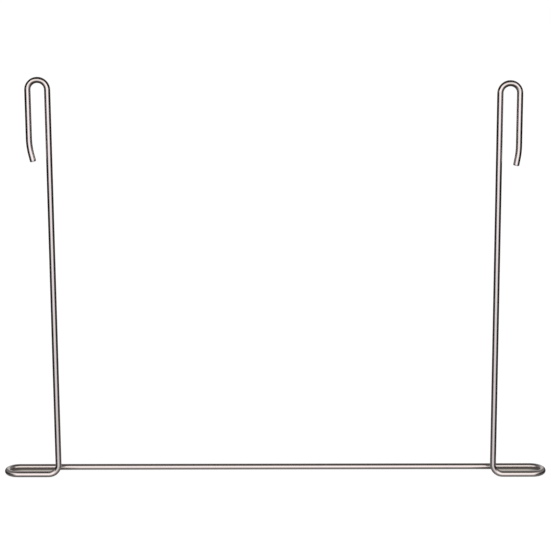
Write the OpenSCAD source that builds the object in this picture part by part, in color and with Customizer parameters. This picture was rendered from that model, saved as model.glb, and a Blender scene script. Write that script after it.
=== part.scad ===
// Mud flap bracket, bent from one length of round steel rod.
// Two hooks hang it from the flap hanger. Its uprights run down in front of the flap
// to two short front runs, each of which turns back through an end loop into one long
// bar behind the flap, so the flap's lower edge is held in the slot between them.
// X is across the vehicle, Z is up and the front faces -Y.
// The origin is below the middle of the part, level with the underside of the bar.
// The two sides were bent a little differently, so each side has its own sizes.

/* [Rod] */
// Diameter of the round rod
rod_d = 7; // [5:0.5:10]
// Chamfer round each cut end of the rod
end_chamfer = 0.5; // [0.2:0.1:1.5]

/* [Flap slot] */
// Width of the mud flap that hangs between the end loops
flap_w = 610; // [400:5:900]
// Side clearance between an edge of the flap and its end loop
flap_clearance = 3; // [1:0.5:15]
// Clear gap from the back bar to the left front run
left_gap = 19; // [12:0.5:40]
// Clear gap from the back bar to the right front run
right_gap = 20.5; // [12:0.5:40]

/* [Front runs] */
// Straight length of the left front run, from its end loop to its corner
left_run = 35.9; // [5:0.1:120]
// Straight length of the right front run, from its end loop to its corner
right_run = 34.1; // [5:0.1:120]
// Inside radius of the corner where a front run turns up into its upright
corner_inner_r = 8; // [3:0.5:25]

/* [Uprights] */
// Overall height at the left hook
left_h = 468.4; // [250:0.1:800]
// Overall height at the right hook
right_h = 464; // [250:0.1:800]
// Outward lean of the left upright, in degrees
left_lean = 0.22; // [-3:0.02:3]
// Outward lean of the right upright, in degrees
right_lean = -0.16; // [-3:0.02:3]

/* [Hooks] */
// Clear gap inside each hook, for the hanger's edge
hook_gap = 15; // [10:0.5:30]
// Straight length of the left hook's outer leg, from its crown to its curl
left_leg = 55; // [10:0.5:150]
// Straight length of the right hook's outer leg, from its crown to its curl
right_leg = 59.5; // [10:0.5:150]
// Centre-line radius of the gentle curl at the foot of each leg
curl_r = 80; // [40:5:150]
// Turn of the left leg's curl towards its upright, in degrees
left_curl = 13; // [1:1:16]
// Turn of the right leg's curl towards its upright, in degrees
right_curl = 10; // [1:1:16]
// Straight end of the left hook past its curl
left_tip = 8.4; // [3:0.1:15]
// Straight end of the right hook past its curl
right_tip = 8.8; // [3:0.1:15]

/* [Hidden] */
$fn = 64;
rod_r = rod_d / 2;
// Loss of diameter round a bend, and how far a bend laps into the lengths it joins
bend_thinning = 0.04;
lap = 0.4;
hook_r = (hook_gap + rod_d) / 2;
corner_r = corner_inner_r + rod_r;

// Centre-line radius of an end loop with the given clear gap.
function loop_r(gap) = (gap + rod_d) / 2;

// From the middle of the bar to its end loop, which reaches past the straight bar
// by half the gap, on the inside.
function half_bar(gap) = flap_w / 2 + flap_clearance - gap / 2;

// The origin is halfway between the back of the bar and the foremost front run
bar_y = loop_r(max(left_gap, right_gap));

// Straight length of an upright that brings the top of its hook to height h:
// what is left of h between the corner's bend below and the crown's bend above.
function upright_length(h, lean) =
    (h - rod_d - corner_r * (1 + sin(lean)) - hook_r * (1 - sin(lean))) / cos(lean);

// The rod is followed as it would be bent: each step starts at the origin, heads
// along +Z, bends towards +X, and places the steps that follow it at its far end.

// A straight length of rod.
module straight(length) {
    cylinder(d = rod_d, h = length);
    translate([0, 0, length]) children();
}

// A bend of the given centre-line radius. Bending stretches the rod, so it is a
// hair thinner here, and it laps into the straight lengths on both sides.
module bend(r, angle) {
    lap_angle = lap / r * 180 / PI;
    translate([r, 0, 0]) {
        rotate([90, 0, 180])
            rotate_extrude(angle = angle + 2 * lap_angle, start = -lap_angle)
                translate([r, 0]) circle(d = rod_d - bend_thinning);
        rotate([0, angle, 0]) translate([-r, 0, 0]) children();
    }
}

// The rod turned about its own length, so that the next bend lies in another plane.
module turned(angle) {
    rotate([0, 0, angle]) children();
}

// The last straight length, cut square and chamfered.
module cut_end(length) {
    cylinder(d = rod_d, h = length - end_chamfer);
    translate([0, 0, length - end_chamfer])
        cylinder(r1 = rod_r, r2 = rod_r - end_chamfer, h = end_chamfer);
}

// The long straight bar behind the flap.
module back_bar() {
    translate([-half_bar(left_gap), bar_y, rod_r])
        rotate([0, 90, 0])
            cylinder(d = rod_d, h = half_bar(left_gap) + half_bar(right_gap));
}

// One side, from the right end of the bar: round its end loop to the front, back
// along the front run, up the upright, over the hook's crown and down to the cut end.
module side(gap, run, h, lean, leg, curl, tip) {
    translate([half_bar(gap), bar_y, rod_r])
    rotate([-90, 0, 0])
    rotate([0, 90, 0])
    bend(loop_r(gap), 180)
    straight(run)
    turned(-90)
    bend(corner_r, 90 + lean)
    straight(upright_length(h, lean))
    bend(hook_r, 180)
    straight(leg)
    bend(curl_r, curl)
    cut_end(tip);
}

module bent_rod() {
    color("#bdb6b1") {
        back_bar();
        side(right_gap, right_run, right_h, right_lean, right_leg, right_curl, right_tip);
        mirror([1, 0, 0])
            side(left_gap, left_run, left_h, left_lean, left_leg, left_curl, left_tip);
    }
}

bent_rod();
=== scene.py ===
# %% [markdown]
# A mud flap bracket, dressed for its portrait
#
# The real bracket is one length of bright steel rod, 7 mm thick and about 1.9 m long, bent
# cold to shape. Two hooks hang it from the flap hanger, two uprights run down in front of the
# flap, and two end loops lead back into one long bar behind it, so that the flap's lower edge
# is held in a slot.
#
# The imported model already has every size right, but its round rod is made of a dozen flat
# strips, which bright metal gives away at once. So this lesson sweeps a smooth rod along the
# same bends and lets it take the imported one's place, gives it a drawn steel finish, and stands
# it in a small white studio.

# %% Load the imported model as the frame
import math

import bpy
import numpy as np
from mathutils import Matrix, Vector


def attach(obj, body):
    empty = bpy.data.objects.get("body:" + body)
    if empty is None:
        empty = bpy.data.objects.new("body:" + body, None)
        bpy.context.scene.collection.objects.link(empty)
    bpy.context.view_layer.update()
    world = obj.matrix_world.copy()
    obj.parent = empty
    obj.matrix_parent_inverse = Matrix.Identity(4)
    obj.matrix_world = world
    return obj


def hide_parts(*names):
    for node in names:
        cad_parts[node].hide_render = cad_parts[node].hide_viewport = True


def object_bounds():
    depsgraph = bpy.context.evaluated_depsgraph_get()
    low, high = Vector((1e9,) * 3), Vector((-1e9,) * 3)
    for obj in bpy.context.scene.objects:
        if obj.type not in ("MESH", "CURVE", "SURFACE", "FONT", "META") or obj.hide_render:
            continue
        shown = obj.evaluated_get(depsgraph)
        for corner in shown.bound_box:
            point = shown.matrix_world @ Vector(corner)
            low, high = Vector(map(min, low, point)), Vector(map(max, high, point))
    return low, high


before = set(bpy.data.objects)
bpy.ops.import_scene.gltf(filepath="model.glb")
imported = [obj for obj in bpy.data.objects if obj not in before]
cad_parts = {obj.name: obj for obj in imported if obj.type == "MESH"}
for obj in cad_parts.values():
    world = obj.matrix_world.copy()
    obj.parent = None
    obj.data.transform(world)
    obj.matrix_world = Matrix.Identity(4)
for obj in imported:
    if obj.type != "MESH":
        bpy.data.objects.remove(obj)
cad_low, cad_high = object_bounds()
half_way_up = (cad_low.z + cad_high.z) / 2
print("nodes:", sorted(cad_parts))
print("CAD box, mm:", [round(1000 * v, 2) for v in (*cad_low, *cad_high)])

# %% [markdown]
# The bend program
#
# A rod like this is made from a list of lengths and bends, in the order in which they come
# off the bender: so much straight, a turn of so many degrees round a former, and so on. The
# same list drives the surface here, with the part's own sizes. It could also be drawn as a
# bezier curve with a bevel, but a curve's handles only come near to a true arc, and its bevel
# can't thin the rod on the outside of a bend alone. Every size is in metres.

# %% Sizes of the rod and its bends
MM = 0.001
ROD_R = 3.5 * MM
END_CHAMFER = 0.5 * MM
FLAP_WIDTH = 610 * MM
FLAP_CLEARANCE = 3 * MM
HOOK_GAP = 15 * MM
CORNER_R = 8 * MM + ROD_R
CURL_R = 80 * MM

HOOK_R = HOOK_GAP / 2 + ROD_R
LEFT = {"gap": 19, "run": 35.9, "height": 468.4, "lean": 0.22, "leg": 55, "curl": 13, "tip": 8.4}
RIGHT = {"gap": 20.5, "run": 34.1, "height": 464, "lean": -0.16, "leg": 59.5, "curl": 10, "tip": 8.8}


def loop_radius(gap):
    """Centre-line radius of an end loop with a clear gap between bar and front run."""
    return gap * MM / 2 + ROD_R


def half_bar(gap):
    """The bar's length from its middle to the loop, whose inside reaches past the flap."""
    return FLAP_WIDTH / 2 + FLAP_CLEARANCE - gap * MM / 2


BAR_Y = loop_radius(max(LEFT["gap"], RIGHT["gap"]))
print("bar behind the origin, mm:", round(BAR_Y / MM, 2))

# %% Steps of the bend program
UPWARDS = 0.0
FORWARDS = math.pi / 2


def straight(length):
    """A straight step of the program."""
    return {"length": length, "turn": 0.0, "toward": 0.0, "painted_shade": 0.0}


def bend(radius, degrees, toward, painted_shade=0.0):
    """A turn along an arc. toward is the angle round the rod at which its centre lies.

    The last argument is one where a painted shade darkens the inside of the bend, and zero elsewhere.
    """
    turn = math.radians(degrees)
    return {"length": radius * turn, "turn": turn, "toward": toward, "painted_shade": painted_shade}


def upright_length(height, lean):
    """What is left of the height between the corner's bend below and the crown's above."""
    corner = CORNER_R * (1 + math.sin(lean))
    crown = HOOK_R * (1 - math.sin(lean))
    return (height - 2 * ROD_R - corner - crown) / math.cos(lean)


def side_program(gap, run, height, lean, leg, curl, tip):
    """From the middle of the bar to the hook's cut end, short of the chamfer there.

    Lengths are in millimetres, and the lean and the curl in degrees.
    """
    return [
        straight(half_bar(gap)),
        bend(loop_radius(gap), 180, FORWARDS),
        straight(run * MM),
        bend(CORNER_R, 90 + lean, UPWARDS),
        straight(upright_length(height * MM, math.radians(lean))),
        # The hook's crown takes a painted shade on its inside
        bend(HOOK_R, 180, UPWARDS, painted_shade=1.0),
        straight(leg * MM),
        bend(CURL_R, curl, UPWARDS),
        straight(tip * MM - END_CHAMFER),
    ]


left_program = side_program(**LEFT)
right_program = side_program(**RIGHT)
rod_length = sum(step["length"] for step in left_program + right_program) + 2 * END_CHAMFER
print("length of rod, mm:", round(rod_length / MM, 1))

# %% [markdown]
# Following the program
#
# A moving frame of three unit vectors follows the rod: its heading, and two directions
# across it. In a bend the frame turns about the bend's own axis and about nothing else, so it
# never twists along the rod, and the lines that drawing left on the steel stay straight.
# Blender's curve tools have twist settings for this, but here the frame also tells every
# point of the surface how far round the bend it lies.

# %% Follow a program with a moving frame
STRAIGHT_STEP = 2.0 * MM
BEND_STEP = 0.7 * MM


def follow(program, start, across, beside):
    """Stations along a program: centre, across, beside and distance, one row for each.

    In a turn of curvature k, the station at distance s from the turn's start lies at
    start + heading * sin(k s) / k + inwards * (1 - cos(k s)) / k. There the inwards direction
    has become inwards * cos(k s) - heading * sin(k s), and the axis of the turn is unchanged.
    """
    rows = []
    travelled = 0.0
    for step in program:
        heading = np.cross(across, beside)
        inwards = math.cos(step["toward"]) * across + math.sin(step["toward"]) * beside
        axis = np.cross(heading, inwards)
        spacing = BEND_STEP if step["turn"] else STRAIGHT_STEP
        s = np.linspace(0, step["length"], math.ceil(step["length"] / spacing) + 1)[:, None]
        k = step["turn"] / step["length"]
        ahead = np.sin(k * s) / k if k else s
        aside = (1 - np.cos(k * s)) / k if k else 0 * s
        inwards_there = inwards * np.cos(k * s) - heading * np.sin(k * s)
        centres = start + ahead * heading + aside * inwards
        acrosses = np.dot(across, inwards) * inwards_there + np.dot(across, axis) * axis
        besides = np.dot(beside, inwards) * inwards_there + np.dot(beside, axis) * axis
        rows.append(np.hstack([centres, acrosses, besides, travelled + s]))
        start, across, beside = centres[-1], acrosses[-1], besides[-1]
        travelled += step["length"]
    return np.vstack([rows[0], *[step_rows[1:] for step_rows in rows[1:]]])


BAR_MIDDLE = np.array([0.0, BAR_Y, ROD_R])
UP = np.array([0.0, 0.0, 1.0])
FRONT = np.array([0.0, -1.0, 0.0])
left_rows = follow(left_program, BAR_MIDDLE, UP, FRONT)
right_rows = follow(right_program, BAR_MIDDLE, UP, FRONT)
print("stations:", len(left_rows), "left,", len(right_rows), "right")

# %% [markdown]
# The cut ends
#
# Each end of the rod was cut square and its edge broken with a file. A sharp cone would catch
# the light as a hard line, so the chamfer follows a superellipse: the place across and the
# place along, each to a power a little over one, add up to a constant. It meets the rod's
# side and the cut face without a crease. A shear first slides and then tears, so the face is
# smooth near one side and uneven over the rest.

# %% Rings that close an end
AROUND = 48
CHAMFER_POWER = 1.3
CHAMFER_RINGS = 8
FACE_RINGS = 9
TEAR_DEPTH = 0.08 * MM
TEAR_RIM = 0.85
RIM_STEEPNESS = 3
SLID_SIDE = -0.6
angle = 2 * math.pi * np.arange(AROUND) / AROUND


def smooth(x):
    """Zero below 0, one above 1, and 3 x squared less 2 x cubed between them."""
    x = np.clip(x, 0, 1)
    return x * x * (3 - 2 * x)


def end_rings():
    """Radius of each closing ring, and its distance beyond the last full ring.

    On the chamfer the radius is the face's plus c cos(t)^(2/p), and the distance is
    c sin(t)^(2/p), where c is the chamfer's size and t goes up to a right angle.
    """
    t = np.linspace(0, math.pi / 2, CHAMFER_RINGS + 1)[1:]
    face_radius = ROD_R - END_CHAMFER
    edge_radius = face_radius + END_CHAMFER * np.cos(t).clip(0) ** (2 / CHAMFER_POWER)
    edge_beyond = END_CHAMFER * np.sin(t) ** (2 / CHAMFER_POWER)
    inner_radius = np.linspace(face_radius, 0, FACE_RINGS + 1)[1:-1]
    inner_beyond = np.full(len(inner_radius), END_CHAMFER)
    return np.append(edge_radius, inner_radius), np.append(edge_beyond, inner_beyond)


def tear(radius):
    """Depth of the torn part of a cut face at a radius and every angle.

    Two crossed sine waves, each bent by the other direction, are faded out at the face's rim
    and over the side where the shear slid. Places on the face are shares of the rod's radius.
    """
    x = radius[:, None] * np.cos(angle) / ROD_R
    y = radius[:, None] * np.sin(angle) / ROD_R
    ripple = np.sin(9 * x + 2.5 * np.sin(5 * y)) * np.cos(7 * y - 1.5 * np.sin(4 * x))
    within = smooth(RIM_STEEPNESS * (TEAR_RIM - np.hypot(x, y)))
    return TEAR_DEPTH * within * smooth(x - SLID_SIDE) * (0.5 + 0.5 * ripple)


end_radius, end_beyond = end_rings()
print("closing rings:", len(end_radius), " deepest tear, mm:", round(tear(end_radius).max() / MM, 3))

# %% [markdown]
# One list of stations
#
# Both sides were followed from the middle of the bar, so the left one is mirrored and turned
# round, and the two become one rod from cut end to cut end. The closing rings are further
# rows of the same list, with a smaller radius. Distances along the rod are negative on the
# left.

# %% Join the sides and add the closing rows
# A mirrored row has the opposite x in its centre and both directions, and the opposite distance
MIRROR = np.array([-1, 1, 1] * 3 + [-1])


def heading_of(row):
    """The way in which distance grows at a station, square to its two directions across."""
    return np.cross(row[..., 3:6], row[..., 6:9])


def closing_rows(end_row, sign):
    """The end's row repeated for each closing ring, moved beyond the last full ring."""
    repeated = np.repeat(end_row[None], len(end_beyond), axis=0)
    repeated[:, 0:3] += sign * end_beyond[:, None] * heading_of(end_row)
    repeated[:, -1] += sign * end_beyond
    return repeated


rows = np.vstack([(left_rows * MIRROR)[:0:-1], right_rows])
rows = np.vstack([closing_rows(rows[0], -1)[::-1], rows, closing_rows(rows[-1], 1)])
centre, across, beside, along = rows[:, 0:3], rows[:, 3:6], rows[:, 6:9], rows[:, -1]
closing = len(end_radius)
full_radius = np.full(len(rows) - 2 * closing, ROD_R)
radius = np.concatenate([end_radius[::-1], full_radius, end_radius])
print("cut ends at, mm:", np.round(centre[[0, -1]] / MM, 2).tolist())

# %% [markdown]
# What bending does to the rod
#
# Cold bending stretches the outside of a bend and squeezes its inside. The outside loses a
# little thickness, and its skin turns faintly matt, while the inside is rubbed by the
# former. Both grow with the strain, which is the rod's radius over the bend's, and both fade
# out just past the ends of the bend. The hooks are the tightest bends, and in the photograph
# the inside of their crowns is dark with shade, which is painted into the rod's colour there.
# The amounts are worked out for every point of the surface at once, as an array of bends by
# stations by places round the rod.

# %% Stretch at every point of the surface
FADE = 2.5 * MM
OUTSIDE_LOSS = 0.07
INSIDE_LOSS = 0.02
# The painted shade's start and width are cosines of the angle from the bend's inside, and the
# last two values are shares of the bend's length
CROWN_SHADE_STARTS = -0.2
CROWN_SHADE_WIDTH = 0.4
CROWN_SHADE_ENDS = 0.02
CROWN_SHADE_FADE = 0.30


def bends_of(program, sign):
    """First and last distance, strain, inwards angle and painted shade of each bend along the rod."""
    found = []
    travelled = 0.0
    for step in program:
        ends = sorted([sign * travelled, sign * (travelled + step["length"])])
        if step["turn"]:
            strain = ROD_R * step["turn"] / step["length"]
            found.append([*ends, strain, step["toward"], step["painted_shade"]])
        travelled += step["length"]
    return found


bends = np.array(bends_of(left_program, -1) + bends_of(right_program, 1))
first, last, strain, toward, painted_shade = (column[:, None] for column in bends.T)
fade_in = smooth((along - first) / (2 * FADE) + 0.5)
fade_out = smooth((last - along) / (2 * FADE) + 0.5)
strength = (strain * fade_in * fade_out)[:, :, None]
inside = np.cos(angle - toward)[:, None, :]
stretch = -(strength * inside).sum(axis=0)
loss = (strength * np.where(inside < 0, OUTSIDE_LOSS, INSIDE_LOSS) * inside**2).sum(axis=0)
from_end = np.minimum(along - first, last - along) / (last - first)
# Painted shade: a dark band along the inside of each hook's crown, fading in from its ends
crown_shade_along = (painted_shade * smooth((from_end - CROWN_SHADE_ENDS) / CROWN_SHADE_FADE))[:, :, None]
crown_shade = (crown_shade_along * smooth((inside - CROWN_SHADE_STARTS) / CROWN_SHADE_WIDTH)).sum(axis=0)
print("bends:", len(bends), " greatest strain:", round(stretch.max(), 3))
print("most radius lost, mm:", round(ROD_R * loss.max() / MM, 3))

# %% [markdown]
# The rod as one surface
#
# The surface is a grid, one way along the rod and the other way round it. A point of it is
# the station's centre, plus the radius there times the cosine of its angle across and the
# sine beside. One more point closes each end. Each point also keeps its place on the straight
# rod, before any bend, and its stretch, so that a finish can follow the steel round every
# corner without a seam.

# %% Points of the rod
slack = radius[:, None] * (1 - loss)
outward = across[:, None] * np.cos(angle)[:, None] + beside[:, None] * np.sin(angle)[:, None]
sunk = np.zeros((len(rows), AROUND))
sunk[:closing] = tear(end_radius[::-1])
sunk[-closing:] = -tear(end_radius)
pole_depth = tear(np.zeros(1))[0, 0]
heading = heading_of(rows)
rings = centre[:, None] + slack[:, :, None] * outward + sunk[:, :, None] * heading[:, None]
poles = [centre[0] + pole_depth * heading[0], centre[-1] - pole_depth * heading[-1]]
points = np.vstack([rings.reshape(-1, 3), poles])

ring_place = np.broadcast_arrays(
    along[:, None], radius[:, None] * np.cos(angle), radius[:, None] * np.sin(angle)
)
pole_place = [[along[0], 0, 0], [along[-1], 0, 0]]
unbent = np.vstack([np.stack(ring_place, axis=-1).reshape(-1, 3), pole_place])
point_stretch = np.append(stretch.ravel(), [0, 0])
point_crown_shade = np.append(crown_shade.ravel(), [0, 0])
print("rings:", len(rings), " points:", len(points))

# %% Faces of the rod
PIECE = "bright_bent_rod"


def tube_quads(ring_count, around):
    """Each quad goes round first and along second, so that it faces outwards."""
    i = np.arange(ring_count - 1)[:, None] * around
    j = np.arange(around)[None, :]
    k = (j + 1) % around
    return np.stack([i + j, i + k, i + around + k, i + around + j], axis=-1).reshape(-1, 4)


def fan(first_point, around, pole, forwards):
    """Triangles from one ring to the pole that closes it, facing forwards or backwards."""
    j = first_point + np.arange(around)
    k = first_point + (np.arange(around) + 1) % around
    tip = np.full(around, pole)
    return np.stack([j, k, tip] if forwards else [k, j, tip], axis=-1)


last_ring = (len(rings) - 1) * AROUND
left_fan = fan(0, AROUND, len(points) - 2, False)
right_fan = fan(last_ring, AROUND, len(points) - 1, True)
quads = tube_quads(len(rings), AROUND)
rod_mesh = bpy.data.meshes.new(PIECE)
rod_mesh.from_pydata(points, [], quads.tolist() + left_fan.tolist() + right_fan.tolist())
rod_mesh.polygons.foreach_set("use_smooth", np.ones(len(rod_mesh.polygons), dtype=bool))
rod = bpy.data.objects.new(PIECE, rod_mesh)
bpy.context.collection.objects.link(rod)
print("faces:", len(rod_mesh.polygons), " mended:", rod_mesh.validate())

# %% [markdown]
# Places that travel with the steel
#
# A pattern tied to the room would slide over the rod where it bends. So each point is given
# its place on the unbent rod, its stretch and its share of the painted crown shade as
# attributes, which the finishes read, and a UV map unrolls the same place: along the rod one
# way and round it the other. A face that crosses the line where the angle starts again would
# be smeared over the whole map, so its low corners are moved up by one turn.

# %% Attributes that follow the steel
def keep_on_points(name, kind, field, values):
    """An attribute of the rod that holds one value for each of its points."""
    attribute = rod_mesh.attributes.new(name, kind, "POINT")
    attribute.data.foreach_set(field, values.astype(np.float32).ravel())


keep_on_points("unbent", "FLOAT_VECTOR", "vector", unbent)
keep_on_points("stretch", "FLOAT", "value", point_stretch)
# The painted shade inside the hooks' crowns, for the skin's colour
keep_on_points("crown_shade", "FLOAT", "value", point_crown_shade)
print("stretched from", round(stretch.min(), 3), "to", round(stretch.max(), 3))
print("marked points:", int((crown_shade > 0).sum()))

# %% A UV map, along the rod and round it
corner_point = np.zeros(len(rod_mesh.loops), dtype=np.int32)
rod_mesh.loops.foreach_get("vertex_index", corner_point)
first_corner = np.zeros(len(rod_mesh.polygons), dtype=np.int32)
rod_mesh.polygons.foreach_get("loop_start", first_corner)
corner_count = np.diff(np.append(first_corner, len(corner_point)))

place = unbent[corner_point]
part_round = np.arctan2(place[:, 2], place[:, 1]) / (2 * math.pi) % 1
highest = np.repeat(np.maximum.reduceat(part_round, first_corner), corner_count)
part_round = np.where(highest - part_round > 0.5, part_round + 1, part_round)
part_along = (place[:, 0] - along[0]) / rod_length
uv = np.stack([part_along, part_round], axis=-1)
rod_mesh.uv_layers.new(name="along_and_round").data.foreach_set("uv", uv.astype(np.float32).ravel())
print("UV map reaches:", np.round(uv.max(axis=0), 3).tolist())

# %% [markdown]
# Effects that the finishes share
#
# Rod is drawn through a die, which leaves fine lines along it, and no two metres of it have
# quite the same tone. The rod's skin and its cut ends both use these two effects, each with
# its own values, so each effect is a node group with named inputs. Both read the place on the
# straight rod, so the lines run round the bends with the steel. The lines are noise that is
# squeezed across the rod, which costs far less than thousands of scratches as geometry.


# %% Helpers for nodes
def add(tree, kind, inputs=None, **settings):
    """A new node. An input given as another node's socket is linked, and a value is set."""
    node = tree.nodes.new("ShaderNode" + kind)
    for name, value in settings.items():
        setattr(node, name, value)
    for name, value in (inputs or {}).items():
        if isinstance(value, bpy.types.NodeSocket):
            tree.links.new(value, node.inputs[name])
        else:
            node.inputs[name].default_value = value
    return node


def step_between(tree, value, low, high, at_low=0.0, at_high=1.0):
    """A Map Range node's result, from at_low at one value to at_high at the other."""
    limits = {"Value": value, "From Min": low, "From Max": high, "To Min": at_low, "To Max": at_high}
    return add(tree, "MapRange", limits).outputs[0]


def new_group(name, numbers, outputs):
    """A node group that is given a place and some numbers, and puts out numbers."""
    tree = bpy.data.node_groups.new(name, "ShaderNodeTree")
    tree.interface.new_socket("Place", in_out="INPUT", socket_type="NodeSocketVector")
    for label, value in numbers.items():
        socket = tree.interface.new_socket(label, in_out="INPUT", socket_type="NodeSocketFloat")
        socket.default_value = value
    for label in outputs:
        tree.interface.new_socket(label, in_out="OUTPUT", socket_type="NodeSocketFloat")
    return tree, tree.nodes.new("NodeGroupInput").outputs, tree.nodes.new("NodeGroupOutput").inputs


# %% Drawn lines
LINE_EDGES = (0.35, 0.65)

lines, given, result = new_group("drawn lines", {"Lines": 2500.0, "Streaks": 25.0}, ["Lines"])
per_metre = add(lines, "CombineXYZ", {"X": given["Streaks"], "Y": given["Lines"], "Z": given["Lines"]})
squeezed = add(lines, "VectorMath", {0: given["Place"], 1: per_metre.outputs[0]}, operation="MULTIPLY")
line_noise = add(lines, "TexNoise", {"Vector": squeezed.outputs[0], "Scale": 1.0, "Detail": 2.0})
lines.links.new(step_between(lines, line_noise.outputs[0], *LINE_EDGES), result["Lines"])
print("group:", lines.name)

# %% Slow drift of tone
DRIFT_EDGES = (0.3, 0.7)

drift, given, result = new_group("slow drift", {"Patches": 30.0}, ["Drift"])
drift_scale = add(drift, "VectorMath", {0: given["Place"], "Scale": given["Patches"]}, operation="SCALE")
drift_noise = add(drift, "TexNoise", {"Vector": drift_scale.outputs[0], "Scale": 1.0, "Detail": 3.0})
drift.links.new(step_between(drift, drift_noise.outputs[0], *DRIFT_EDGES), result["Drift"])
print("group:", drift.name)

# %% [markdown]
# Drawn steel
#
# The rod in the photograph is bright and a little warm, with a pink to mauve cast where it
# drifts. A metal's colour is its reflection, so the finish is fully metallic, and its base
# colour is what it does to white light. Roughness keeps reflections clear enough to show the
# dark edges along the rod, and the drawn lines only break them up a little.

# %% Helpers for materials
def group_node(tree, group, place, values):
    """A shader group placed in a material, with its place linked and its numbers set."""
    node = add(tree, "Group", node_tree=group)
    tree.links.new(place, node.inputs["Place"])
    for name, value in values.items():
        node.inputs[name].default_value = value
    return node.outputs[0]


def neutral(level):
    """A colour with one level in all three channels, where 0 is black and 1 is white."""
    return (level, level, level, 1)


def blend_colours(tree, factor, a, b):
    """The colour between a and b. Sockets 0, 6 and 7 are a Mix node's factor and colours."""
    return add(tree, "Mix", {0: factor, 6: a, 7: b}, data_type="RGBA").outputs[2]


def weigh(tree, value, weight, base):
    """value * weight + base, as one Math node."""
    return add(tree, "Math", {0: value, 1: weight, 2: base}, operation="MULTIPLY_ADD").outputs[0]


def new_material(name):
    """A material with nodes, and its shader."""
    material = bpy.data.materials.new(name)
    material.use_nodes = True
    return material, material.node_tree, material.node_tree.nodes["Principled BSDF"]


# %% The finish of the rod's skin
WARM_STEEL = (0.80, 0.75, 0.725, 1)
MAUVE_STEEL = (0.78, 0.725, 0.735, 1)
LINE_STEEL = (0.66, 0.61, 0.61, 1)
RUBBED_STEEL = (0.60, 0.56, 0.55, 1)
# Painted shade, for the inside of the hooks' crowns
CROWN_SHADE_COLOUR = (0.10, 0.09, 0.085, 1)
LINE_SHARE = 0.25
RUB_STRETCH = (-0.1, -0.32)
RUB_SHARE = 0.5
CROWN_SHADE_SHARE = 0.92
SKIN_ROUGHNESS = 0.12
LINE_ROUGHNESS = 0.04
DRIFT_ROUGHNESS = 0.04
MATT_STRETCH = (0.05, 0.32)
MATT_ROUGHNESS = 0.10
LINE_HEIGHT = 1.5e-6

drawn_steel, tree, shader = new_material("drawn_steel")
place = add(tree, "Attribute", attribute_name="unbent").outputs["Vector"]
pulled = add(tree, "Attribute", attribute_name="stretch").outputs["Fac"]
fine = group_node(tree, lines, place, {"Lines": 2600.0, "Streaks": 22.0})
tone = group_node(tree, drift, place, {"Patches": 28.0})
skin = blend_colours(tree, tone, WARM_STEEL, MAUVE_STEEL)
skin = blend_colours(tree, weigh(tree, fine, LINE_SHARE, 0.0), skin, LINE_STEEL)
rubbed = step_between(tree, pulled, *RUB_STRETCH, 0.0, RUB_SHARE)
skin = blend_colours(tree, rubbed, skin, RUBBED_STEEL)
# The inside of the hooks' crowns is darkened almost to black here: painted shade
crown_shaded = add(tree, "Attribute", attribute_name="crown_shade").outputs["Fac"]
skin = blend_colours(tree, weigh(tree, crown_shaded, CROWN_SHADE_SHARE, 0.0), skin, CROWN_SHADE_COLOUR)
tree.links.new(skin, shader.inputs["Base Color"])

rough = weigh(tree, fine, LINE_ROUGHNESS, SKIN_ROUGHNESS)
rough = weigh(tree, tone, DRIFT_ROUGHNESS, rough)
rough = weigh(tree, step_between(tree, pulled, *MATT_STRETCH), MATT_ROUGHNESS, rough)
tree.links.new(rough, shader.inputs["Roughness"])
bump = add(tree, "Bump", {"Height": fine, "Distance": LINE_HEIGHT})
tree.links.new(bump.outputs[0], shader.inputs["Normal"])
shader.inputs["Metallic"].default_value = 1.0
print("material:", drawn_steel.name)

# %% [markdown]
# Sheared steel
#
# A cut face has no drawn skin. The shear's blade wiped it one way, so its lines lie across the
# rod, and it scatters light more than the skin does. The same two groups make it, with other
# numbers and with the place turned so that the lines run the blade's way.

# %% The finish of the cut ends
CUT_STEEL = (0.66, 0.63, 0.61, 1)
CUT_SHADOW = (0.46, 0.43, 0.41, 1)
CUT_ROUGHNESS = 0.32
CUT_VARIATION = 0.2
WIPE_HEIGHT = 12e-6

sheared_steel, tree, shader = new_material("sheared_steel")
place = add(tree, "Attribute", attribute_name="unbent").outputs["Vector"]
turned = add(tree, "Mapping", {"Vector": place, "Rotation": (0, 0, math.radians(90))}).outputs[0]
wipe = group_node(tree, lines, turned, {"Lines": 5000.0, "Streaks": 300.0})
tone = group_node(tree, drift, place, {"Patches": 600.0})
face = blend_colours(tree, wipe, CUT_STEEL, CUT_SHADOW)
tree.links.new(face, shader.inputs["Base Color"])
tree.links.new(weigh(tree, tone, CUT_VARIATION, CUT_ROUGHNESS), shader.inputs["Roughness"])
bump = add(tree, "Bump", {"Height": wipe, "Distance": WIPE_HEIGHT})
tree.links.new(bump.outputs[0], shader.inputs["Normal"])
shader.inputs["Metallic"].default_value = 1.0
print("material:", sheared_steel.name)

# %% Put the finishes on the rod
rod_mesh.materials.append(drawn_steel)
rod_mesh.materials.append(sheared_steel)
row_of_quad = np.repeat(np.arange(len(rings) - 1), AROUND)
row_of_face = np.append(row_of_quad, np.zeros(2 * AROUND, dtype=int))
is_cut = (row_of_face < closing) | (row_of_face >= len(rings) - 1 - closing)
rod_mesh.polygons.foreach_set("material_index", is_cut.astype(np.int32))
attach(rod, "root")
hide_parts("bent_rod")
print("cut faces:", int(is_cut.sum()))

# %% [markdown]
# The floor
#
# The photograph shows the bracket cut out on pure white. A white floor gives the same picture
# and still takes the bracket's shadow. To the camera it glows by itself, almost up to white,
# and a thin share of matt white on top carries the shadow. Inside the end loops, where the
# cutting out stopped, the photograph keeps its own shaded backdrop. Through the loops the
# camera sees only a strip of floor along the bar, so the glow is dimmed there as painted
# shade, and most of all where the rod closes round it. Reflections don't see this floor.

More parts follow.
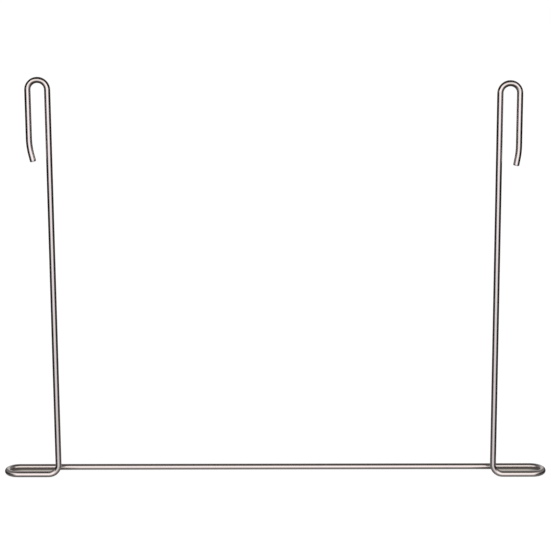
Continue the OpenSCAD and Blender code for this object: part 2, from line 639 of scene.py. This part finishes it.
# %% Floor
WHITE = neutral(1)
FLOOR_R = 30.0
FLOOR_SIDES = 64
FLOOR_GLOW = 0.92
FLOOR_SHARE = 0.12
# Painted shade: the floor's glow inside the end loops, and darker still at their ends
LOOP_PAINTED_SHADE = (0.36, 0.325, 0.29, 1)
LOOP_END_PAINTED_SHADE = (0.20, 0.18, 0.16, 1)
LOOP_END = (296 * MM, 302 * MM)
LOOP_FLAT = (302 * MM, 7.5 * MM)
LOOP_BORDER = 8 * MM
LOOP_BLUR = 1 * MM
LOOP_FROM = (255.5 * MM, 258 * MM)
LOOP_BEHIND = (4 * MM, 6 * MM)


def stage_faces(name, corners, faces):
    """Faces that stand round the object and aren't part of it."""
    mesh = bpy.data.meshes.new(name)
    mesh.from_pydata(corners, [], faces)
    thing = bpy.data.objects.new(name, mesh)
    bpy.context.collection.objects.link(thing)
    return thing


def stage_sheet(name, outline):
    """A flat face at floor level, facing up."""
    return stage_faces(name, [(x, y, 0.0) for x, y in outline], [tuple(range(len(outline)))])


def place_on_floor(tree):
    """A floor point's distance to the side, and its place from front to back."""
    point = add(tree, "SeparateXYZ", {0: add(tree, "TexCoord").outputs["Object"]}).outputs
    return add(tree, "Math", {0: point["X"]}, operation="ABSOLUTE").outputs[0], point["Y"]


def past(tree, value, limit):
    """How far a value is past a limit, and zero short of it."""
    return add(tree, "Math", {0: weigh(tree, value, 1.0, -limit), 1: 0.0}, operation="MAXIMUM").outputs[0]


def inside_loops(tree, away_x, y, start, behind):
    """One inside the end loops and zero elsewhere.

    The area is a flat rectangle with a border round it, and its rim lies under the rod. So it
    is where the distance to the rectangle is under the border's width. It rises from zero to
    one between two distances to the side, and between two places from front to back.
    """
    away_y = add(tree, "Math", {0: y}, operation="ABSOLUTE").outputs[0]
    flat_x, flat_y = LOOP_FLAT
    offset = add(tree, "CombineXYZ", {"X": past(tree, away_x, flat_x), "Y": past(tree, away_y, flat_y)})
    distance = add(tree, "VectorMath", {0: offset.outputs[0]}, operation="LENGTH").outputs["Value"]
    within = step_between(tree, distance, LOOP_BORDER + LOOP_BLUR, LOOP_BORDER - LOOP_BLUR)
    started = step_between(tree, away_x, *start)
    both = add(tree, "Math", {0: within, 1: started}, operation="MULTIPLY").outputs[0]
    past_front = step_between(tree, y, *behind)
    return add(tree, "Math", {0: both, 1: past_front}, operation="MULTIPLY").outputs[0]


rim = 2 * math.pi * np.arange(FLOOR_SIDES) / FLOOR_SIDES
floor = stage_sheet("floor", np.stack([FLOOR_R * np.cos(rim), FLOOR_R * np.sin(rim)], axis=-1))
floor.visible_glossy = False
floor_paint, tree, shader = new_material("floor_paint")
shader.inputs["Specular IOR Level"].default_value = 0.0
shader.inputs["Roughness"].default_value = 1.0
seen = add(tree, "LightPath").outputs["Is Camera Ray"]
matt_share = blend_colours(tree, seen, WHITE, neutral(FLOOR_SHARE))
tree.links.new(matt_share, shader.inputs["Base Color"])
away_x, y = place_on_floor(tree)
# Painted shade inside the loops, in place of the floor's white glow
in_loop = inside_loops(tree, away_x, y, LOOP_FROM, LOOP_BEHIND)
at_end = step_between(tree, away_x, *LOOP_END)
loop_painted_shade = blend_colours(tree, at_end, LOOP_PAINTED_SHADE, LOOP_END_PAINTED_SHADE)
glow = blend_colours(tree, in_loop, neutral(FLOOR_GLOW), loop_painted_shade)
light = add(tree, "Emission", {"Color": glow, "Strength": seen})
both = add(tree, "AddShader", {0: shader.outputs[0], 1: light.outputs[0]})
tree.links.new(both.outputs[0], tree.nodes["Material Output"].inputs["Surface"])
floor.data.materials.append(floor_paint)
print("floor radius, m:", FLOOR_R)

# %% [markdown]
# The shade inside the loops
#
# The long bar shows the floor in its underside. In the middle that is open floor, which the
# studio's walls below stand for, but inside the end loops it is in the shade of both runs.
# This sheet is that shade, for reflections alone. It fades in a little inward of the uprights,
# because the bar in the photograph darkens before it reaches them.

# %% Shade for reflections
SHADE_EDGE = (330 * MM, 20 * MM)
SHADE_FROM = (228 * MM, 250 * MM)
SHADE_BEHIND = (-18 * MM, -16 * MM)
SHADE_COLOUR = (0.105, 0.098, 0.09, 1)


def only_reflected(thing):
    """Hide a thing from the camera and from matt surfaces, so that only reflections see it."""
    thing.visible_camera = False
    thing.visible_diffuse = False
    thing.visible_shadow = False


def bare_material(name):
    """A material without a shader yet, its nodes, and the socket that its surface goes to."""
    material, tree, shader = new_material(name)
    tree.nodes.remove(shader)
    return material, tree, tree.nodes["Material Output"].inputs["Surface"]


edge_x, edge_y = SHADE_EDGE
shade = stage_sheet(
    "loop_shade", [(-edge_x, -edge_y), (edge_x, -edge_y), (edge_x, edge_y), (-edge_x, edge_y)]
)
only_reflected(shade)
shade_light, tree, surface = bare_material("shade_light")
in_loop = inside_loops(tree, *place_on_floor(tree), SHADE_FROM, SHADE_BEHIND)
lit = add(tree, "Emission", {"Color": SHADE_COLOUR, "Strength": 1.0})
clear = add(tree, "BsdfTransparent")
mixed = add(tree, "MixShader", {0: in_loop, 1: clear.outputs[0], 2: lit.outputs[0]})
tree.links.new(mixed.outputs[0], surface)
shade.data.materials.append(shade_light)
print("shade, mm:", [round(2 * v / MM) for v in SHADE_EDGE])

# %% [markdown]
# Flags over the hooks
#
# Bright steel against white would lose its edges. A photographer hangs black cards, called
# flags, close to it and just outside the picture, and the steel shows them as a dark line down
# each side. The hooks' crowns have such a line all the way over the top. Each flag here is a
# black card bent to three sides of a box, over one crown, and only reflections see it.

# %% Flags
HOOK_X = 263 * MM
HOOK_Y = BAR_Y - 26 * MM
FLAG_ASIDE = 60 * MM
FLAG_REACH = 55 * MM
FLAG_Z = (458 * MM, 530 * MM)
FLAG_COLOUR = neutral(0.015)
FLAG_POINTS = 8


def flag_points(hook_x):
    """Up beside the crown, over it and down again, as a strip from front to back."""
    bottom, top = FLAG_Z
    outline = [(-FLAG_ASIDE, bottom), (-FLAG_ASIDE, top), (FLAG_ASIDE, top), (FLAG_ASIDE, bottom)]
    return [(hook_x + x, HOOK_Y + y, z) for x, z in outline for y in (-FLAG_REACH, FLAG_REACH)]


strip_starts = [flag + strip for flag in (0, FLAG_POINTS) for strip in (0, 2, 4)]
flag_faces = [(k, k + 1, k + 3, k + 2) for k in strip_starts]
flags = stage_faces("hook_flags", flag_points(-HOOK_X) + flag_points(HOOK_X), flag_faces)
only_reflected(flags)
flag_card, tree, surface = bare_material("flag_card")
lit = add(tree, "Emission", {"Color": FLAG_COLOUR, "Strength": 1.0})
tree.links.new(lit.outputs[0], surface)
flags.data.materials.append(flag_card)
print("flag faces:", len(flag_faces))

# %% [markdown]
# The walls of the studio
#
# Bright rod shows its surroundings and almost nothing else. The photograph's dark edges down
# both sides of every run, round a light core in the middle, say that the light came from a
# wide panel beside the camera, and that the sides and the ceiling were dark. The panel leaned
# over the bracket, so it looked wider above eye level than below. A dome round the bracket, as
# far away as the camera, stands for all of this. Only reflections see it, and its level is
# looked up by two angles, how far round from the front and how high. The wall right behind is
# grey, to give the rod a light core from there too.


# %% Helpers for the walls
def ramp(tree, angle_socket, limits, stops):
    """A colour looked up by an angle, from a list of (degrees, colour)."""
    low, high = limits
    factor = step_between(tree, angle_socket, math.radians(low), math.radians(high))
    node = add(tree, "ValToRGB", {"Fac": factor})
    node.color_ramp.interpolation = "EASE"
    elements = node.color_ramp.elements
    while len(elements) < len(stops):
        elements.new(0.5)
    for element, (degrees, colour) in zip(elements, stops):
        element.position = (degrees - low) / (high - low)
        element.color = colour
    return node.outputs["Color"]


def tinted(tint, levels):
    """A list of (degrees, level) as a list of (degrees, colour of one tint)."""
    return [(degrees, (level * tint[0], level * tint[1], level * tint[2], 1)) for degrees, level in levels]


# %% Levels of the walls
# A height's list gives the wall's level at angles in degrees, where a level of 1 is white.
# A width's list is white at the angles where that wall stands, and black where it doesn't.
BLACK = neutral(0)
WARM = (1.0, 0.94, 0.895)
COOL = (1.0, 0.965, 0.985)
GREY = (1.0, 0.98, 0.96)
BELOW = tinted(WARM, [(-90, 0.20), (-52, 0.23), (-36, 0.42)])
ALONG = tinted(COOL, [(-28, 0.66), (-23.5, 0.82), (-15, 0.99), (-4, 1.28)])
ABOVE = tinted(WARM, [(4, 1.48), (24, 1.25), (36, 0.95), (45, 0.50), (54, 0.12), (90, 0.07)])
FRONT_HEIGHT = BELOW + ALONG + ABOVE
SIDE_HEIGHT = tinted(
    GREY, [(-60, 0.18), (-30, 0.15), (-20, 0.03), (-3, 0.01), (14, 0.2), (42, 0.2), (60, 0.07)]
)
BACK_HEIGHT = tinted(
    GREY, [(-60, 0.3), (-30, 0.45), (-12, 0.5), (-3, 0.5), (14, 0.6), (28, 0.4), (45, 0.12), (70, 0.07)]
)
FRONT_WIDTH = [(0, WHITE), (22, WHITE), (51, BLACK)]
BACK_WIDTH = [(149, BLACK), (167, WHITE)]
# Between these heights an angle to the side comes to count for less, so the panel is wider above
LEAN_HEIGHTS = (math.radians(-1), math.radians(12))
LEAN_WIDENS = 0.60
print("angles looked up:", len(FRONT_HEIGHT), "in front,", len(BACK_HEIGHT), "behind")

# %% Dome
CAMERA_DISTANCE = 2.55
DOME_R = CAMERA_DISTANCE
DOME_SEGMENTS = 48
DOME_RINGS = 24

bpy.ops.mesh.primitive_uv_sphere_add(segments=DOME_SEGMENTS, ring_count=DOME_RINGS, radius=DOME_R)
dome = bpy.context.active_object
dome.name = "studio_walls"
dome.location = (0, 0, half_way_up)
only_reflected(dome)
wall_light, tree, surface = bare_material("wall_light")
point = add(tree, "TexCoord").outputs["Object"]
way = add(tree, "SeparateXYZ", {0: add(tree, "VectorMath", {0: point}, operation="NORMALIZE").outputs[0]})
sideways = add(tree, "Math", {0: way.outputs["X"]}, operation="ABSOLUTE").outputs[0]
forwards = weigh(tree, way.outputs["Y"], -1.0, 0.0)
round_angle = add(tree, "Math", {0: sideways, 1: forwards}, operation="ARCTAN2").outputs[0]
height_angle = add(tree, "Math", {0: way.outputs["Z"]}, operation="ARCSINE").outputs[0]
narrowed = step_between(tree, height_angle, *LEAN_HEIGHTS, 1.0, LEAN_WIDENS)
leaning = add(tree, "Math", {0: round_angle, 1: narrowed}, operation="MULTIPLY").outputs[0]
in_front = ramp(tree, leaning, (0, 180), FRONT_WIDTH)
at_back = ramp(tree, round_angle, (0, 180), BACK_WIDTH)
front_level = ramp(tree, height_angle, (-90, 90), FRONT_HEIGHT)
side_level = ramp(tree, height_angle, (-90, 90), SIDE_HEIGHT)
back_level = ramp(tree, height_angle, (-90, 90), BACK_HEIGHT)
wall = blend_colours(tree, in_front, side_level, front_level)
wall = blend_colours(tree, at_back, wall, back_level)
lit = add(tree, "Emission", {"Color": wall, "Strength": 1.0})
tree.links.new(lit.outputs[0], surface)
dome.data.materials.append(wall_light)
print("dome radius, m:", DOME_R)

# %% [markdown]
# The white backdrop
#
# A background of pure white takes a world of strength one, which would be too much light for
# the floor. Light Path tells the kinds of ray apart: the camera, and any reflection or
# transparency that reaches the world, meet the white, and all other light is a little lower.

# %% Plain white world
PLAIN_LEVEL = 0.8
world = bpy.data.worlds.new("studio")
bpy.context.scene.world = world
world.use_nodes = True
tree = world.node_tree
tree.nodes.clear()
plain = add(tree, "Background", {"Color": WHITE, "Strength": PLAIN_LEVEL})
backdrop = add(tree, "Background", {"Color": WHITE, "Strength": 1.0})
ray = add(tree, "LightPath").outputs
seen = ray["Is Camera Ray"]
for kind in ("Is Glossy Ray", "Is Transmission Ray"):
    seen = add(tree, "Math", {0: seen, 1: ray[kind]}, operation="MAXIMUM").outputs[0]
sky = add(tree, "MixShader", {0: seen, 1: plain.outputs[0], 2: backdrop.outputs[0]})
add(tree, "OutputWorld", {"Surface": sky.outputs[0]})
print("world:", world.name)

# %% [markdown]
# Lamps
#
# Two large soft lamps give the floor its level and the shadow its direction. Steel doesn't
# see them, since the walls already hold what it reflects, and a square lamp would show in it
# as a hard bright line that the photograph hasn't got.

# %% Soft lamps
LAMPS = {
    "key_lamp": {"place": (-1.2, -1.6, 2.2), "size": 1.6, "watts": 14.0},
    "fill_lamp": {"place": (1.5, -1.0, 1.8), "size": 1.6, "watts": 6.0},
}
aim = Vector((0, 0, half_way_up))
for name, lamp in LAMPS.items():
    light = bpy.data.lights.new(name, "AREA")
    light.shape = "DISK"
    light.size = lamp["size"]
    light.energy = lamp["watts"]
    holder = bpy.data.objects.new(name, light)
    holder.location = lamp["place"]
    holder.rotation_euler = (aim - holder.location).to_track_quat("-Z", "Y").to_euler()
    holder.visible_glossy = False
    holder.visible_camera = False
    bpy.context.collection.objects.link(holder)
print("lamps:", len(LAMPS))

# %% [markdown]
# The camera
#
# The picture's own geometry gives the camera. The front runs lie 26 mm before the bar on the
# left and 27.5 mm on the right, and how far apart they are in the picture says that the camera
# looks down by 14 degrees. The rod is 6.0 pixels thick everywhere, so the camera is far away
# with a long lens. The bar rises by a tenth of a degree to the right, so the camera is rolled
# by as much. Distance, lens and aim were then fitted to the runs, the uprights and both hooks.

# %% Camera at the photograph's angle
LOOK_DOWN = math.radians(14)
CAMERA_AIM = (0.13 * MM, 0.75 * MM, 237.9 * MM)
ROLL = math.radians(0.101)
FOCAL_PIXELS = 2235.95
PICTURE_PIXELS = 550

camera_data = bpy.data.cameras.new("camera")
camera_data.lens = camera_data.sensor_width * FOCAL_PIXELS / PICTURE_PIXELS
camera = bpy.data.objects.new("camera", camera_data)
camera.location = (
    CAMERA_AIM[0],
    CAMERA_AIM[1] - CAMERA_DISTANCE * math.cos(LOOK_DOWN),
    CAMERA_AIM[2] + CAMERA_DISTANCE * math.sin(LOOK_DOWN),
)
camera.rotation_mode = "ZXY"
camera.rotation_euler = (math.pi / 2 - LOOK_DOWN, 0, -ROLL)
bpy.context.collection.objects.link(camera)
bpy.context.scene.camera = camera
bpy.context.scene.view_settings.view_transform = "Standard"
print("lens, mm:", round(camera_data.lens, 2), " camera at:", [round(v, 4) for v in camera.location])
